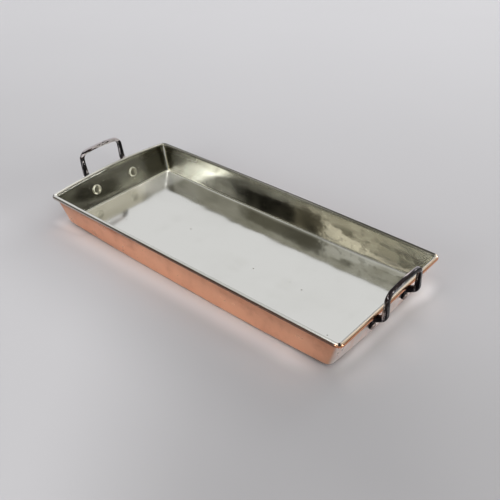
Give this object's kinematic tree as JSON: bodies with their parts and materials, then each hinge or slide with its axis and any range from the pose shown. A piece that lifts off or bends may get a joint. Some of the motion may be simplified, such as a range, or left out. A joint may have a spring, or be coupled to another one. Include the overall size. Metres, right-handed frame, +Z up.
{
  "type": "baking tray",
  "caption": "Long rectangular baking tray of tinned copper with flared walls, a wired rolled rim and riveted forged iron handles at its ends.",
  "frame": {"origin": "on the table, in the middle of the flat part of the underside", "axes": "+X along the tray towards the end with the upright handle, +Y across it, +Z up"},
  "size_m": [0.6089, 0.2609, 0.094],
  "materials": {
    "copper_sheet": "satin hand-polished copper",
    "tin": "hand-wiped tin, softly reflecting",
    "steel_wire": "plain drawn wire",
    "forged_iron": "hand-forged, dark and worn",
    "rivet_copper": "copper, tinned over"
  },
  "bodies": {
    "root": {"pan_body": "copper_sheet", "tin_lining": "tin", "rim_wire": "steel_wire", "handle_near": "forged_iron", "handle_far": "forged_iron", "rivet_near_front": "rivet_copper", "rivet_near_back": "rivet_copper", "rivet_far_front": "rivet_copper", "rivet_far_back": "rivet_copper"}
  },
  "joints": []
}
